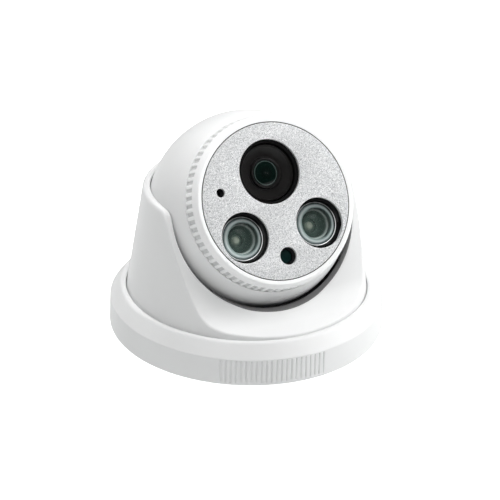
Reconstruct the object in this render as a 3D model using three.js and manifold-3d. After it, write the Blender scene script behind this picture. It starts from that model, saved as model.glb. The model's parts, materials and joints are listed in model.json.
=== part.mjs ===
// A turret ("eyeball") security camera. A round mounting plate fixes to a ceiling or wall, a lock ring
// clamps the turret cup on it, and the cup holds a ball with the camera module in its front.
// Millimetres, +Z up (away from the mounting surface), origin at the centre of the plate's underside.
// The cup's opening faces -Y.
import * as THREE from "three";
import { mergeVertices } from "three/addons/utils/BufferGeometryUtils.js";
import Module from "manifold-3d";

const wasm = await Module();
wasm.setup();

// ---- Driving dimensions ----
const GAP = 0.3; // between pieces that rest on each other
const WALL = 2.6; // moulded shells

const BASE_RADIUS = 55; // lock ring, outside
const SEAM_RADIUS = 48.7; // lock ring's inner lip, round the cup
const SEAM_HEIGHT = 17.1;
const GRIP_RIBS = 23;
const GRIP_PITCH = 2.07; // degrees from rib to rib
const GRIP_CENTRE = -105; // degrees from +X, the middle of the ribbed patch
const GRIP_HEIGHT = [1.5, 11.5];
const PLATE_THICKNESS = 3;
const PLATE_RADIUS = 48.8;
const PLATE_WALL = [44, 47]; // ring wall that the cup turns on, inside and outside
const PLATE_WALL_TOP = 8;
const LUG_ANGLES = [30, 150, 270];
const LUG_HALF_WIDTH = 8; // degrees
const WALL_SCREW_CIRCLE = 33;
const WALL_SCREW_HOLE = 2.3;
const CABLE_HOLE_RADIUS = 9;
const CABLE_BORE = 6.6;

const BALL_RADIUS = 39.65;
const BALL_HEIGHT = 48.8; // ball centre above the mounting surface
const FACE_ELEVATION = 32; // degrees above the mounting surface that the face looks at, at rest

const CUP_FOOT_RADIUS = 48.25;
const CUP_FOOT_HEIGHT = 18;
const CUP_RIM_RADIUS = 41.7;
const CUP_RIM_HEIGHT = 60;
const MOUTH_RADIUS = 38.7; // the round edge that the ball looks out of
const FACADE_OFFSET = 13.4; // the cup's slanted front, ahead of the ball centre along the face axis
const OPENING_RADIUS = 38.4;
const OPENING_DROP = 3.5; // the opening's centre, below the face axis
const OPENING_DRAFT = 0.7; // the drop grows by this much per millimetre towards the front

const FACE_OFFSET = 27.75; // face plate's front, ahead of the ball centre
const FACE_RADIUS = 30.8;
const FACE_THICKNESS = 1.5;
const LENS_POSITION = [0, 11.58];
const LENS_HOLE = 12.7;
const LED_POSITION = [15.94, -11.57];
const LED_HOLE = 9.9;
const SENSOR_POSITION = [0, -21.7];
const SENSOR_HOLE = 3.45;
const MIC_POSITION = [-22, 7.1];
const MIC_HOLE = 1.64;
const BARREL_RADIUS = 6.1;
const FILTER_TRAVEL = 6; // infrared-cut filter, sideways

const ROUND = 48; // sides of the large round pieces
const MIDDLE = 24;
const SMALL = 16;

// ---- Materials ----
const finish = (color, roughness, metalness = 0) =>
  new THREE.MeshStandardMaterial({ color, roughness, metalness });

const whitePlastic = finish(0xf0f0ee, 0.35);
const blackPlastic = finish(0x101112, 0.5);
const greyPlastic = finish(0x4a4c4e, 0.6);
const nylon = finish(0xd9d6cc, 0.6);
const silverPlate = finish(0xc6c8ca, 0.45, 0.6);
const rubber = finish(0x17181a, 0.9);
const steel = finish(0xb4b7ba, 0.3, 1);
const brass = finish(0xb08d4a, 0.35, 1);
const circuitBoard = finish(0x14502d, 0.5);
const clearPlastic = finish(0xdfe8e6, 0.05);
const coatedGlass = finish(0x24382f, 0.03);
const filterGlass = finish(0x9cc0b8, 0.05);
const emitter = finish(0xd8d9a8, 0.4);
const sensorResin = finish(0x2f4a4c, 0.2);
const silicon = finish(0x33303a, 0.2);

// ---- Shape helpers ----
const rad = THREE.MathUtils.degToRad;

// Points on an arc in a profile, angles in degrees from the first axis.
function arc(x, y, radius, from, to, steps) {
  return Array.from({ length: steps + 1 }, (_, i) => {
    const angle = rad(from + ((to - from) * i) / steps);
    return [x + radius * Math.cos(angle), y + radius * Math.sin(angle)];
  });
}

function signedArea(points) {
  return points.reduce((sum, [x, y], i) => {
    const [nextX, nextY] = points[(i + 1) % points.length];
    return sum + (x * nextY - nextX * y) / 2;
  }, 0);
}

// A solid of revolution about Z from a profile of [radius, height] points.
function lathe(profile, sides = ROUND) {
  const turning = signedArea(profile) > 0 ? profile : [...profile].reverse();
  const outline = turning.map(([radius, height]) => new THREE.Vector2(radius, height));
  outline.push(outline[0].clone());
  return new THREE.LatheGeometry(outline, sides).rotateX(Math.PI / 2);
}

// A solid disc or ring with square edges, from one height to another.
function ring(inner, outer, bottom, top, sides = ROUND) {
  return lathe([[inner, bottom], [outer, bottom], [outer, top], [inner, top]], sides);
}

function disc(radius, bottom, top, sides = SMALL) {
  return new THREE.CylinderGeometry(radius, radius, top - bottom, sides)
    .rotateX(Math.PI / 2)
    .translate(0, 0, (bottom + top) / 2);
}

function block(width, depth, bottom, top) {
  return new THREE.BoxGeometry(width, depth, top - bottom).translate(0, 0, (bottom + top) / 2);
}

// A flat outline pushed up from one height to another.
function slab(outline, bottom, top) {
  const shape = new THREE.Shape(outline.map(([x, y]) => new THREE.Vector2(x, y)));
  return new THREE.ExtrudeGeometry(shape, { depth: top - bottom, bevelEnabled: false })
    .translate(0, 0, bottom);
}

// A piece of a ring, between two radii, centred on an angle.
function sector(inner, outer, middle, halfWidth, bottom, top) {
  const outline = [
    ...arc(0, 0, outer, middle - halfWidth, middle + halfWidth, 6),
    ...arc(0, 0, inner, middle + halfWidth, middle - halfWidth, 6),
  ];
  return slab(outline, bottom, top);
}

function solid(geometry) {
  const bare = geometry.clone();
  bare.deleteAttribute("normal");
  bare.deleteAttribute("uv");
  const merged = mergeVertices(bare, 1e-4);
  return new wasm.Manifold(
    new wasm.Mesh({
      numProp: 3,
      vertProperties: new Float32Array(merged.attributes.position.array),
      triVerts: new Uint32Array(merged.index.array),
    }),
  );
}

function geometryOf(manifold) {
  const mesh = manifold.getMesh();
  return new THREE.BufferGeometry()
    .setAttribute("position", new THREE.BufferAttribute(new Float32Array(mesh.vertProperties), 3))
    .setIndex(new THREE.BufferAttribute(new Uint32Array(mesh.triVerts), 1));
}

const joined = (...shapes) => shapes.map(solid).reduce((a, b) => a.add(b));
const cut = (shape, ...tools) =>
  geometryOf(tools.map(solid).reduce((body, tool) => body.subtract(tool), solid(shape)));
const join = (...shapes) => geometryOf(joined(...shapes));

const at = (geometry, x, y, z = 0) => geometry.clone().translate(x, y, z);
const polar = (radius, angle) => [radius * Math.cos(rad(angle)), radius * Math.sin(rad(angle))];

function addPiece(group, name, geometry, material) {
  const piece = new THREE.Mesh(geometry, material);
  piece.name = name;
  group.add(piece);
  return piece;
}

function screw(headRadius, headHeight, shankRadius, shankLength) {
  return lathe([
    [0, 0],
    [headRadius * 0.8, 0],
    [headRadius, headHeight * 0.4],
    [headRadius, headHeight],
    [shankRadius, headHeight],
    [shankRadius, headHeight + shankLength],
    [0, headHeight + shankLength],
  ], 8);
}

// ---- Mounting base: stays on the ceiling or wall ----
function makeMountingPlate() {
  const [inner, outer] = PLATE_WALL;
  const plate = lathe([
    [0, 0],
    [PLATE_RADIUS, 0],
    [PLATE_RADIUS, PLATE_THICKNESS],
    [outer, PLATE_THICKNESS],
    [outer, PLATE_WALL_TOP],
    [inner, PLATE_WALL_TOP],
    [inner, PLATE_THICKNESS],
    [0, PLATE_THICKNESS],
  ]);
  const lugs = LUG_ANGLES.map((angle) =>
    sector(outer - 0.5, 51.4, angle, LUG_HALF_WIDTH, PLATE_THICKNESS, PLATE_THICKNESS + 2));
  const betweenLugs = 60;
  const holes = LUG_ANGLES.map((angle) =>
    at(disc(WALL_SCREW_HOLE, -1, PLATE_THICKNESS + 1), ...polar(WALL_SCREW_CIRCLE, angle + betweenLugs)));
  const cableHole = disc(CABLE_HOLE_RADIUS, -1, PLATE_THICKNESS + 1, MIDDLE);
  return cut(join(plate, ...lugs), cableHole, ...holes);
}

function makeCableBush() {
  const outer = CABLE_HOLE_RADIUS - GAP;
  const flange = PLATE_THICKNESS + GAP;
  return lathe([
    [CABLE_BORE, GAP],
    [outer, GAP],
    [outer, flange],
    [outer + 2, flange],
    [outer + 1.4, flange + 1.2],
    [CABLE_BORE + 0.6, flange + 1.6],
    [CABLE_BORE, flange + 1.2],
  ], MIDDLE);
}

function makeMountingBase() {
  const base = new THREE.Group();
  const [inner, outer] = PLATE_WALL;
  const slip = ring(inner + 0.4, outer + 0.6, PLATE_WALL_TOP + GAP, PLATE_WALL_TOP + 1.2);
  addPiece(base, "mounting_plate", makeMountingPlate(), whitePlastic);
  addPiece(base, "cable_bush", makeCableBush(), rubber);
  addPiece(base, "pan_slip_ring", slip, nylon);
  return base;
}

// ---- Lock ring: twists on the plate's lugs and clamps the cup's foot ----
function makeLockRing() {
  const body = lathe([
    [54.5, 0.4],
    [BASE_RADIUS, 1],
    [54.4, 12],
    [54.0, 13.8],
    [53.2, 15.4],
    [52, 16.3],
    [49.4, SEAM_HEIGHT],
    [SEAM_RADIUS, SEAM_HEIGHT - 0.3],
    [SEAM_RADIUS, 15.1],
    [51.3, 15.1],
    [52.2, 13.6],
    [52.5, 0.4],
  ]);
  const tabs = LUG_ANGLES.map((angle) => sector(49.2, 53.4, angle, LUG_HALF_WIDTH, 0.6, 2.7));
  const grooveRadius = 0.55;
  const grooves = Array.from({ length: GRIP_RIBS - 1 }, (_, i) => {
    const angle = GRIP_CENTRE + (i - (GRIP_RIBS - 2) / 2) * GRIP_PITCH;
    return at(disc(grooveRadius, ...GRIP_HEIGHT, 6), ...polar(BASE_RADIUS, angle));
  });
  return cut(join(body, ...tabs), ...grooves);
}

// ---- Turret cup: pans on the plate, its slanted front is cut square to the face axis ----
const CUP_BOTTOM = 9.5;
const CUP_NECK_RADIUS = 48;
const CUP_FLANGE_RADIUS = 50.8;
const CUP_FLANGE = [11.5, 14.8];
const CUP_CEILING = 56; // top of the hollow, under the mouth's lip
const SHELF_SLOPE = 10; // degrees, the apron between the slanted front and the foot
const SHELF_HEIGHT = 18.3; // apron, at the foot
const RIM_ROUNDING = 2.3; // where the slanted front runs into the top rim
const FOOT_ROUNDING = 2.6; // where the slanted front runs into the apron
const SEAT_SCREW_CIRCLE = 41.6;
const SEAT_SCREW_ANGLES = [90, 207, 333];
const SEAT_SCREW_HOLE = 1.65;
const FAR = 60; // clears the object, for tools that cut it
const faceSin = Math.sin(rad(FACE_ELEVATION));
const faceCos = Math.cos(rad(FACE_ELEVATION));

function coneRadius(z) {
  const rise = (z - CUP_FOOT_HEIGHT) / (CUP_RIM_HEIGHT - CUP_FOOT_HEIGHT);
  return CUP_FOOT_RADIUS + (CUP_RIM_RADIUS - CUP_FOOT_RADIUS) * rise;
}

// Four chords round a corner, between points at the same reach along its two sides.
function roundCorner(before, corner, after) {
  const [a, b, c] = [before, corner, after].map(([x, y]) => new THREE.Vector2(x, y));
  return new THREE.QuadraticBezierCurve(a, b, c).getPoints(4).map((point) => [point.x, point.y]);
}

// Side outline (y, z) of the room in front of the cup; inset moves the outline into the cup's wall.
function frontOutline(inset) {
  const offset = FACADE_OFFSET - inset;
  const rim = CUP_RIM_HEIGHT - (inset ? RIM_ROUNDING / 2 : 0);
  const slope = Math.tan(rad(SHELF_SLOPE));
  const shelfAtAxis = SHELF_HEIGHT - inset + CUP_FOOT_RADIUS * slope;
  const facadeY = (z) => (faceSin * (z - BALL_HEIGHT) - offset) / faceCos;
  const shelfZ = (y) => shelfAtAxis + y * slope;
  const cornerY = (faceSin * (shelfAtAxis - BALL_HEIGHT) - offset) / (faceCos - faceSin * slope);
  const roundTop = roundCorner(
    [facadeY(rim) + RIM_ROUNDING, rim],
    [facadeY(rim), rim],
    [facadeY(rim - RIM_ROUNDING), rim - RIM_ROUNDING],
  );
  const roundFoot = roundCorner(
    [cornerY + FOOT_ROUNDING * faceSin, shelfZ(cornerY) + FOOT_ROUNDING * faceCos],
    [cornerY, shelfZ(cornerY)],
    [cornerY - FOOT_ROUNDING, shelfZ(cornerY - FOOT_ROUNDING)],
  );
  return [
    [facadeY(rim) + RIM_ROUNDING, CUP_RIM_HEIGHT + FAR],
    ...roundTop,
    ...roundFoot,
    [-FAR, shelfZ(-FAR)],
    [-FAR, CUP_RIM_HEIGHT + FAR],
  ];
}

function frontRoom(inset) {
  const outline = frontOutline(inset);
  // Extruded along its own Z, then stood up so that outline x runs along Y and outline y along Z.
  return slab(outline, -FAR, FAR).rotateX(Math.PI / 2).rotateZ(Math.PI / 2);
}

function makeTurretCup() {
  const outside = lathe([
    [0, CUP_BOTTOM],
    [CUP_NECK_RADIUS, CUP_BOTTOM],
    [CUP_NECK_RADIUS, CUP_FLANGE[0]],
    [CUP_FLANGE_RADIUS, CUP_FLANGE[0]],
    [CUP_FLANGE_RADIUS, CUP_FLANGE[1]],
    [CUP_FOOT_RADIUS, CUP_FLANGE[1]],
    [CUP_FOOT_RADIUS, CUP_FOOT_HEIGHT],
    [coneRadius(CUP_RIM_HEIGHT - 1.8), CUP_RIM_HEIGHT - 1.8],
    [coneRadius(CUP_RIM_HEIGHT - 0.7) - 0.25, CUP_RIM_HEIGHT - 0.7],
    [CUP_RIM_RADIUS - 1, CUP_RIM_HEIGHT],
    [0, CUP_RIM_HEIGHT],
  ]);
  const cavity = lathe([
    [0, CUP_BOTTOM - 1],
    [CUP_FOOT_RADIUS - WALL, CUP_BOTTOM - 1],
    [CUP_FOOT_RADIUS - WALL, CUP_FOOT_HEIGHT],
    [coneRadius(CUP_CEILING) - WALL, CUP_CEILING],
    [0, CUP_CEILING],
  ]);
  const mouth = lathe([
    [0, CUP_CEILING - 1],
    [MOUTH_RADIUS + 0.8, CUP_CEILING - 1],
    [MOUTH_RADIUS + 0.8, CUP_CEILING],
    [MOUTH_RADIUS + 0.25, CUP_RIM_HEIGHT - 2.4],
    [MOUTH_RADIUS, CUP_RIM_HEIGHT - 1],
    [MOUTH_RADIUS + 0.9, CUP_RIM_HEIGHT + 0.1],
    [MOUTH_RADIUS + 0.9, FAR + CUP_RIM_HEIGHT],
    [0, FAR + CUP_RIM_HEIGHT],
  ]);
  const opening = disc(OPENING_RADIUS, -WALL * 2, 0.6, ROUND)
    .applyMatrix4(new THREE.Matrix4().makeShear(0, 0, 0, 0, 0, -OPENING_DRAFT))
    .translate(0, -OPENING_DROP, FACADE_OFFSET)
    .rotateX(rad(90 - FACE_ELEVATION))
    .translate(0, 0, BALL_HEIGHT);
  const bosses = SEAT_SCREW_ANGLES.map((angle) =>
    at(disc(3.4, 15.6, 26), ...polar(SEAT_SCREW_CIRCLE, angle)));
  const screwHoles = SEAT_SCREW_ANGLES.map((angle) =>
    at(disc(SEAT_SCREW_HOLE, 15, 23, 8), ...polar(SEAT_SCREW_CIRCLE, angle)));
  const hollow = solid(cavity).subtract(solid(frontRoom(WALL)));
  const shell = solid(outside)
    .subtract(solid(frontRoom(0)))
    .subtract(hollow)
    .subtract(solid(mouth))
    .subtract(solid(opening));
  return cut(geometryOf(shell.add(joined(...bosses))), ...screwHoles);
}

// The seat is a spherical ring that the ball rests in, screwed up into the cup.
function makeSeatRing() {
  const seat = arc(0, BALL_HEIGHT, BALL_RADIUS + 0.4, -56, -50, 2);
  const [lipRadius, lipHeight] = seat[seat.length - 1];
  const [foot, flangeTop] = [12.6, 15.2];
  const flangeRadius = SEAT_SCREW_CIRCLE + 2.8;
  const body = lathe([
    ...seat,
    [lipRadius + 4.4, lipHeight],
    [lipRadius + 5.4, lipHeight - 1.6],
    [lipRadius + 5.6, flangeTop],
    [flangeRadius, flangeTop],
    [flangeRadius, foot],
    [seat[0][0] + 0.8, foot],
  ]);
  const holes = SEAT_SCREW_ANGLES.map((angle) =>
    at(disc(SEAT_SCREW_HOLE, foot - 2, flangeTop + 2, 8), ...polar(SEAT_SCREW_CIRCLE, angle)));
  return cut(body, ...holes);
}

function makeFrictionRing() {
  const [low, high] = arc(0, BALL_HEIGHT, BALL_RADIUS + 0.35, -49.2, -47, 1);
  const outside = 30.2;
  return lathe([low, high, [outside, high[1]], [outside, low[1]]]);
}

function makeTurret() {
  const turret = new THREE.Group();
  const screwFoot = 10.6;
  addPiece(turret, "turret_cup", makeTurretCup(), whitePlastic);
  addPiece(turret, "ball_seat_ring", makeSeatRing(), greyPlastic);
  addPiece(turret, "ball_friction_ring", makeFrictionRing(), rubber);
  SEAT_SCREW_ANGLES.forEach((angle, i) => {
    const piece = addPiece(turret, `seat_screw_${i + 1}`, screw(2.6, 1.7, 1.3, 8), steel);
    piece.position.set(...polar(SEAT_SCREW_CIRCLE, angle), screwFoot);
  });
  return turret;
}

// ---- Ball: everything below is in the ball's frame, +Z out of the face, +Y up the face ----
const NECK_TOP = 22.6;
const RING_BACK = 19.9;
const RING_BORE = 33.2;
const FLANGE_BACK = 23.9;
const GLAND_HOLE = 7.3;

function makeBallShell() {
  const degrees = THREE.MathUtils.radToDeg;
  const frontAngle = degrees(Math.asin((RING_BACK - GAP) / BALL_RADIUS));
  const glandAngle = degrees(Math.acos(GLAND_HOLE / BALL_RADIUS));
  const inside = BALL_RADIUS - WALL;
  const insideFront = degrees(Math.acos((RING_BORE - 1.3) / inside));
  const insideBack = degrees(Math.acos(GLAND_HOLE / inside));
  return lathe([
    ...arc(0, 0, BALL_RADIUS, -glandAngle, frontAngle, 12),
    [RING_BORE - GAP, RING_BACK - GAP],
    [RING_BORE - GAP, NECK_TOP],
    ...arc(0, 0, inside, insideFront, -insideBack, 8),
  ]);
}

// The gland sits under the ball's surface at the back, so that it clears the seat as the ball tilts.
function makeCableGland() {
  const bore = 2.6;
  const waist = GLAND_HOLE - 0.4;
  return lathe([
    [bore, -39.1],
    [5.6, -38.8],
    [waist, -38.3],
    [waist, -36],
    [9.5, -35.4],
    [9.2, -34],
    [4.6, -32],
    [bore, -32],
  ], SMALL);
}

function makeBall() {
  const ball = new THREE.Group();
  const seal = ring(RING_BORE - 1.2, RING_BORE - 0.4, NECK_TOP + GAP, FLANGE_BACK - GAP);
  addPiece(ball, "ball_shell", makeBallShell(), whitePlastic);
  addPiece(ball, "front_seal", seal, rubber);
  addPiece(ball, "cable_gland", makeCableGland(), rubber);
  return ball;
}

// ---- Camera module: turns in the ball about the optical axis ----
const FRAME_TOP = 23.6;
const FRAME_BOTTOM = 21.6;
const FRAME_RADIUS = 31.5;
const FRAME_SCREW_ANGLES = [30, 150, 270];
const FRAME_SCREW_CIRCLE = 29.8;
const LED_BOARD = [12.5, 14.1];
const MAIN_BOARD = [-1.6, 0];
const LED_SIDES = { left: -1, right: 1 };
const STANDOFF_REACH = 15.8;
const STANDOFF_CORNERS = [[1, 1], [-1, 1], [-1, -1], [1, -1]]
  .map(([x, y]) => [x * STANDOFF_REACH, y * STANDOFF_REACH]);
const BOARD_SCREW_HOLE = 1.3;
const BARREL_THREAD = BARREL_RADIUS - 0.6;

// The ring's outside is shaped like the ball, down to the bright edge round the face.
function makeFrontRing() {
  const recess = FACE_RADIUS + GAP;
  const ledge = FACE_OFFSET - FACE_THICKNESS - GAP;
  const flangeBore = 28.5;
  const body = lathe([
    [recess, FACE_OFFSET - 0.1],
    [31.6, FACE_OFFSET],
    [32.6, 27.1],
    [33.2, 25.9],
    [33.7, 24.2],
    [34.3, 22],
    [34.55, RING_BACK],
    [RING_BORE, RING_BACK],
    [RING_BORE, FLANGE_BACK],
    [flangeBore, FLANGE_BACK],
    [flangeBore, ledge],
    [recess, ledge],
  ]);
  const screwHoles = FRAME_SCREW_ANGLES.map((angle) =>
    at(disc(1.2, 20, 25.2, 8), ...polar(FRAME_SCREW_CIRCLE, angle)));
  return cut(body, ...screwHoles);
}

function hole(x, y, radius, segments) {
  const path = new THREE.Path();
  const points = arc(x, y, radius, 0, 360, segments).slice(0, -1);
  path.setFromPoints(points.map(([px, py]) => new THREE.Vector2(px, py)));
  return path;
}

function makeFacePlate() {
  const outline = new THREE.Shape(
    arc(0, 0, FACE_RADIUS, 0, 360, ROUND).slice(0, -1).map(([x, y]) => new THREE.Vector2(x, y)),
  );
  outline.holes.push(
    hole(...LENS_POSITION, LENS_HOLE, MIDDLE),
    hole(LED_POSITION[0], LED_POSITION[1], LED_HOLE, MIDDLE),
    hole(-LED_POSITION[0], LED_POSITION[1], LED_HOLE, MIDDLE),
    hole(...SENSOR_POSITION, SENSOR_HOLE, SMALL),
    hole(...MIC_POSITION, MIC_HOLE, SMALL),
  );
  return new THREE.ExtrudeGeometry(outline, { depth: FACE_THICKNESS, bevelEnabled: false })
    .translate(0, 0, FACE_OFFSET - FACE_THICKNESS);
}

function makeModuleFrame() {
  const flange = disc(FRAME_RADIUS, FRAME_BOTTOM, FRAME_TOP, ROUND);
  const nose = disc(28, FRAME_TOP - 0.5, FACE_OFFSET - FACE_THICKNESS - 0.5, ROUND);
  const tube = (radius, x, y) => at(disc(radius, LED_BOARD[1] + 0.6, FRAME_BOTTOM + 0.5, MIDDLE), x, y);
  const ledTubes = Object.values(LED_SIDES).map((side) =>
    tube(10.3, side * LED_POSITION[0], LED_POSITION[1]));
  const body = join(flange, nose, tube(12.9, ...LENS_POSITION), ...ledTubes);
  const through = (radius, x, y, sides) => at(disc(radius, 5, 40, sides), x, y);
  return cut(
    body,
    through(11.6, ...LENS_POSITION, MIDDLE),
    through(9.1, LED_POSITION[0], LED_POSITION[1], MIDDLE),
    through(9.1, -LED_POSITION[0], LED_POSITION[1], MIDDLE),
    through(3.9, ...SENSOR_POSITION, SMALL),
    through(3.7, ...MIC_POSITION, SMALL),
    ...FRAME_SCREW_ANGLES.map((angle) =>
      through(BOARD_SCREW_HOLE, ...polar(FRAME_SCREW_CIRCLE, angle), 8)),
  );
}

function makeLedLens() {
  return lathe([
    [0, 16.6],
    [3.4, 16.6],
    [4.6, 17.4],
    [8.4, 22.6],
    [8.6, 23.2],
    [8.6, 24.9],
    [8.1, 25.2],
    [5.4, 25.0],
    [4.9, 24.3],
    [2.6, 25.2],
    [0, 25.5],
  ], MIDDLE);
}

function makeIrCutHousing() {
  const body = block(20, 18, 1.8, 9.6);
  const tower = disc(7.4, 9, 14, MIDDLE);
  const bore = disc(BARREL_THREAD + GAP, 7, 20, MIDDLE);
  const sensorRoom = block(12, 12, 0, 4.6);
  const lightWay = disc(2.6, 4, 8, SMALL);
  const filterSlot = at(block(21, 10.4, 5.2, 6.8), -1.3, 0);
  return at(cut(join(body, tower), bore, sensorRoom, lightWay, filterSlot), ...LENS_POSITION);
}

function makeMainBoard() {
  const corner = 3;
  const half = 19;
  const outline = [
    ...arc(half - corner, half - corner, corner, 0, 90, 4),
    ...arc(corner - half, half - corner, corner, 90, 180, 4),
    ...arc(corner - half, corner - half, corner, 180, 270, 4),
    ...arc(half - corner, corner - half, corner, 270, 360, 4),
  ];
  const holes = STANDOFF_CORNERS.map(([x, y]) => at(disc(BOARD_SCREW_HOLE, -5, 5, 8), x, y));
  return cut(slab(outline, ...MAIN_BOARD), ...holes);
}

function makeLedBoard() {
  const board = disc(26.5, ...LED_BOARD, ROUND);
  const lensHole = at(disc(9.2, 5, 20, MIDDLE), ...LENS_POSITION);
  const holes = STANDOFF_CORNERS.map(([x, y]) => at(disc(BOARD_SCREW_HOLE, 5, 20, 8), x, y));
  return cut(board, lensHole, ...holes);
}

function makeOptics(module) {
  const optics = new THREE.Group();
  optics.position.set(...LENS_POSITION, 0);
  module.add(optics);
  addPiece(optics, "lens_trim_ring", lathe([
    [6.7, 20],
    [10.4, 20],
    [11.2, 21],
    [11.2, 24.6],
    [10.5, 25],
    [10.2, 24.2],
    [7.4, 23],
    [6.7, 22.2],
  ], MIDDLE), blackPlastic);
  addPiece(optics, "lens_barrel", lathe([
    [3.2, 9.4],
    [BARREL_THREAD, 9.4],
    [BARREL_THREAD, 16],
    [BARREL_RADIUS, 16.6],
    [BARREL_RADIUS, 24.2],
    [BARREL_RADIUS - 0.4, 24.6],
    [5.2, 24.5],
    [4.9, 23.4],
    [4.9, 22],
    [3.6, 20.6],
    [3.6, 12.6],
    [3.2, 12.2],
  ], MIDDLE), blackPlastic);
  addPiece(optics, "lens_front_glass", lathe([
    [0, 22.4],
    [3.4, 22.4],
    [4.6, 22.9],
    [4.6, 23.4],
    [3.4, 24.1],
    [1.8, 24.55],
    [0, 24.7],
  ], SMALL), coatedGlass);
  addPiece(optics, "lens_rear_glass", disc(3.2, 13, 15.4), coatedGlass);
}

function makeModule() {
  const module = new THREE.Group();
  addPiece(module, "front_ring", makeFrontRing(), whitePlastic);
  addPiece(module, "face_plate", makeFacePlate(), silverPlate);
  addPiece(module, "module_frame", makeModuleFrame(), blackPlastic);
  const frameScrewHead = 1.2;
  FRAME_SCREW_ANGLES.forEach((angle, i) => {
    const piece = addPiece(module, `frame_screw_${i + 1}`, screw(1.8, frameScrewHead, 0.9, 3.6), steel);
    piece.position.set(...polar(FRAME_SCREW_CIRCLE, angle), FRAME_BOTTOM - GAP - frameScrewHead);
  });
  makeOptics(module);

  for (const [name, side] of Object.entries(LED_SIDES)) {
    const spot = [side * LED_POSITION[0], LED_POSITION[1]];
    const chip = join(block(7, 7, LED_BOARD[1] + GAP, LED_BOARD[1] + 1.3), disc(2.6, LED_BOARD[1] + 1, 16.2));
    addPiece(module, `led_emitter_${name}`, at(chip, ...spot), emitter);
    addPiece(module, `led_lens_${name}`, at(makeLedLens(), ...spot), clearPlastic);
  }

  addPiece(module, "led_board", makeLedBoard(), circuitBoard);
  addPiece(module, "main_board", makeMainBoard(), circuitBoard);
  addPiece(module, "image_sensor", at(block(8, 8, GAP, 1.6), ...LENS_POSITION), silicon);
  addPiece(module, "ir_cut_housing", makeIrCutHousing(), blackPlastic);
  addPiece(module, "light_sensor", at(lathe([
    [0, LED_BOARD[1] + GAP],
    [2.5, LED_BOARD[1] + GAP],
    [2.5, 25],
    [0, 25.2],
  ], SMALL), ...SENSOR_POSITION), sensorResin);
  addPiece(module, "light_sensor_sleeve",
    at(ring(2.8, 3.5, 18, 25.6, SMALL), ...SENSOR_POSITION), rubber);
  addPiece(module, "microphone", at(disc(2.3, 20.4, 23), ...MIC_POSITION), steel);
  addPiece(module, "microphone_boot", at(lathe([
    [2.6, 19.6],
    [3.3, 19.6],
    [3.3, 25.6],
    [1, 25.6],
    [1, 23.4],
    [2.6, 23.4],
  ], SMALL), ...MIC_POSITION), rubber);

  const boardScrewHead = 1.4;
  STANDOFF_CORNERS.forEach(([x, y], i) => {
    const post = ring(BOARD_SCREW_HOLE + 0.05, 2.4, MAIN_BOARD[1] + GAP, LED_BOARD[0] - GAP, 8);
    addPiece(module, `board_standoff_${i + 1}`, at(post, x, y), brass);
    const bolt = addPiece(module, `board_screw_${i + 1}`, screw(2.2, boardScrewHead, 1, 16), steel);
    bolt.position.set(x, y, MAIN_BOARD[0] - GAP - boardScrewHead);
  });
  addPiece(module, "cable_header", at(block(14, 4.6, -7.4, MAIN_BOARD[0] - GAP), 0, -8), nylon);
  return module;
}

// ---- Infrared-cut filter: slides across behind the lens, from the filter to the clear pane ----
function makeFilter() {
  const filter = new THREE.Group();
  filter.position.set(...LENS_POSITION, 0);
  const frame = at(block(12.8, 9.6, 5.5, 6.5), 2.5, 0);
  const window = disc(2.8, 5, 7);
  const pane = disc(2.5, 5.7, 6.3);
  addPiece(filter, "ir_filter_frame", cut(frame, window, at(window, FILTER_TRAVEL, 0)), blackPlastic);
  addPiece(filter, "ir_filter_glass", pane, filterGlass);
  addPiece(filter, "clear_filter_glass", at(pane, FILTER_TRAVEL, 0), clearPlastic);
  return filter;
}

// ---- Assembly ----
const camera = new THREE.Group();
camera.add(makeMountingBase());
addPiece(camera, "lock_ring", makeLockRing(), whitePlastic);
camera.add(makeTurret());

const ballFrame = new THREE.Group();
ballFrame.position.z = BALL_HEIGHT;
ballFrame.rotation.x = rad(90 - FACE_ELEVATION);
ballFrame.add(makeBall(), makeModule(), makeFilter());
camera.add(ballFrame);

export default camera;
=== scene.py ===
# A turret security camera in a plain studio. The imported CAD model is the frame: it gives every place,
# axis and outer size. The pieces made here are its finished surfaces, and each rides on its CAD body.
import json
import math

import bmesh
import bpy
import numpy as np
from mathutils import Matrix, Vector


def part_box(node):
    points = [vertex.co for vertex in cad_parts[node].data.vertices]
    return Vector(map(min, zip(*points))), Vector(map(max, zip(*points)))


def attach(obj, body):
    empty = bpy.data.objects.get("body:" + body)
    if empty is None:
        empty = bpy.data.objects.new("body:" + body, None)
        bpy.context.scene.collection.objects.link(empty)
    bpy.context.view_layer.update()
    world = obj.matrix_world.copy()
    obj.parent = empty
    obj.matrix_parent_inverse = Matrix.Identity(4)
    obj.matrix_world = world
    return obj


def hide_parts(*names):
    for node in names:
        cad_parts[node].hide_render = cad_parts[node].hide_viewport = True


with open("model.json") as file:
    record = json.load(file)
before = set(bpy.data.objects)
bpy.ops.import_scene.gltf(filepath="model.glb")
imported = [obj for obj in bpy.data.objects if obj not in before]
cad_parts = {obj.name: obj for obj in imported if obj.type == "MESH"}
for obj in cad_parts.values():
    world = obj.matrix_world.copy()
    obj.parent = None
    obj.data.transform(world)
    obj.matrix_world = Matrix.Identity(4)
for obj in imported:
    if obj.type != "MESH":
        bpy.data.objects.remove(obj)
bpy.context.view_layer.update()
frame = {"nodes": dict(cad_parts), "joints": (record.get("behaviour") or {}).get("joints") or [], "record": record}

MM = 0.001

# ---- Places, from the frame ----
JOINTS = {joint["name"]: joint for joint in frame["joints"]}
BALL_CENTRE = Vector(JOINTS["ball_tilt"]["pos_m"])
FACE_AXIS = Vector(JOINTS["module_roll"]["axis"]).normalized()
FACE_UP = FACE_AXIS.cross(Vector((1, 0, 0)))
FACE_FRAME = Matrix.Translation(BALL_CENTRE) @ Matrix(((1, 0, 0), FACE_UP, FACE_AXIS)).transposed().to_4x4()
WORLD_FRAME = Matrix.Identity(4)


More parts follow.
